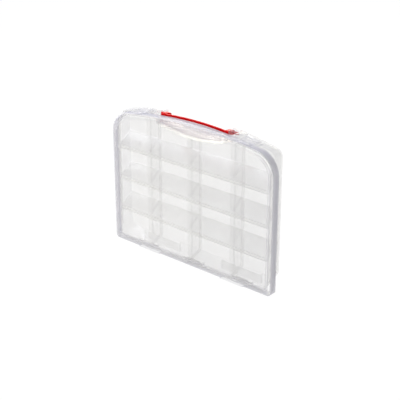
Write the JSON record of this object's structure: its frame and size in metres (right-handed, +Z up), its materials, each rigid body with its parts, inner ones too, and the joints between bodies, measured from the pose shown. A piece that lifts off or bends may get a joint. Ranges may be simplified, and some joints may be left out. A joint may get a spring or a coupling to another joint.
{
  "type": "compartment storage box",
  "caption": "Flat translucent organiser case with a hinged lid, sloping-floor compartments, removable dividers, snap clips and a folding handle.",
  "frame": {"origin": "middle of the footprint, on the surface that the case stands on", "axes": "+X along the width to the right as seen from the lid, +Y from the lid to the back, +Z up to the handle"},
  "size_m": [0.29, 0.029, 0.2128],
  "materials": {
    "tray_plastic": "natural translucent polypropylene, satin",
    "lid_plastic": "natural translucent polypropylene, polished",
    "divider_plastic": "natural translucent polypropylene, satin",
    "clip_plastic": "natural translucent polypropylene, satin",
    "handle_plastic": "red moulded plastic, glossy",
    "pin_plastic": "natural translucent polypropylene, moulded rod"
  },
  "bodies": {
    "tray": {"tray": "tray_plastic", "hinge_pin_left": "pin_plastic", "hinge_pin_middle": "pin_plastic", "hinge_pin_right": "pin_plastic", "divider_row1_left": "divider_plastic", "divider_row1_middle": "divider_plastic", "divider_row1_right": "divider_plastic", "divider_row2_left": "divider_plastic", "divider_row2_middle": "divider_plastic", "divider_row2_right": "divider_plastic", "divider_row3_left": "divider_plastic", "divider_row3_middle": "divider_plastic", "divider_row3_right": "divider_plastic", "divider_row4_left": "divider_plastic", "divider_row4_middle": "divider_plastic", "divider_row4_right": "divider_plastic"},
    "lid": {"lid": "lid_plastic"},
    "handle": {"handle": "handle_plastic"},
    "clip_left": {"clip_left": "clip_plastic"},
    "clip_right": {"clip_right": "clip_plastic"}
  },
  "joints": [
    {"name": "lid_hinge", "type": "hinge", "parent": "tray", "child": "lid", "pos_m": [0, -0.0025, 0.0039], "axis": [1, 0, 0], "range_deg": [0, 180]},
    {"name": "handle_pivot", "type": "hinge", "parent": "tray", "child": "handle", "pos_m": [0, 0.009, 0.2068], "axis": [1, 0, 0], "range_deg": [-180, 0]},
    {"name": "clip_left_pivot", "type": "hinge", "parent": "tray", "child": "clip_left", "pos_m": [-0.09513, 0.007, 0.20603], "axis": [0.9927, 0, 0.1209], "range_deg": [-110, 0]},
    {"name": "clip_right_pivot", "type": "hinge", "parent": "tray", "child": "clip_right", "pos_m": [0.09513, 0.007, 0.20603], "axis": [0.9927, 0, -0.1209], "range_deg": [-110, 0]}
  ]
}
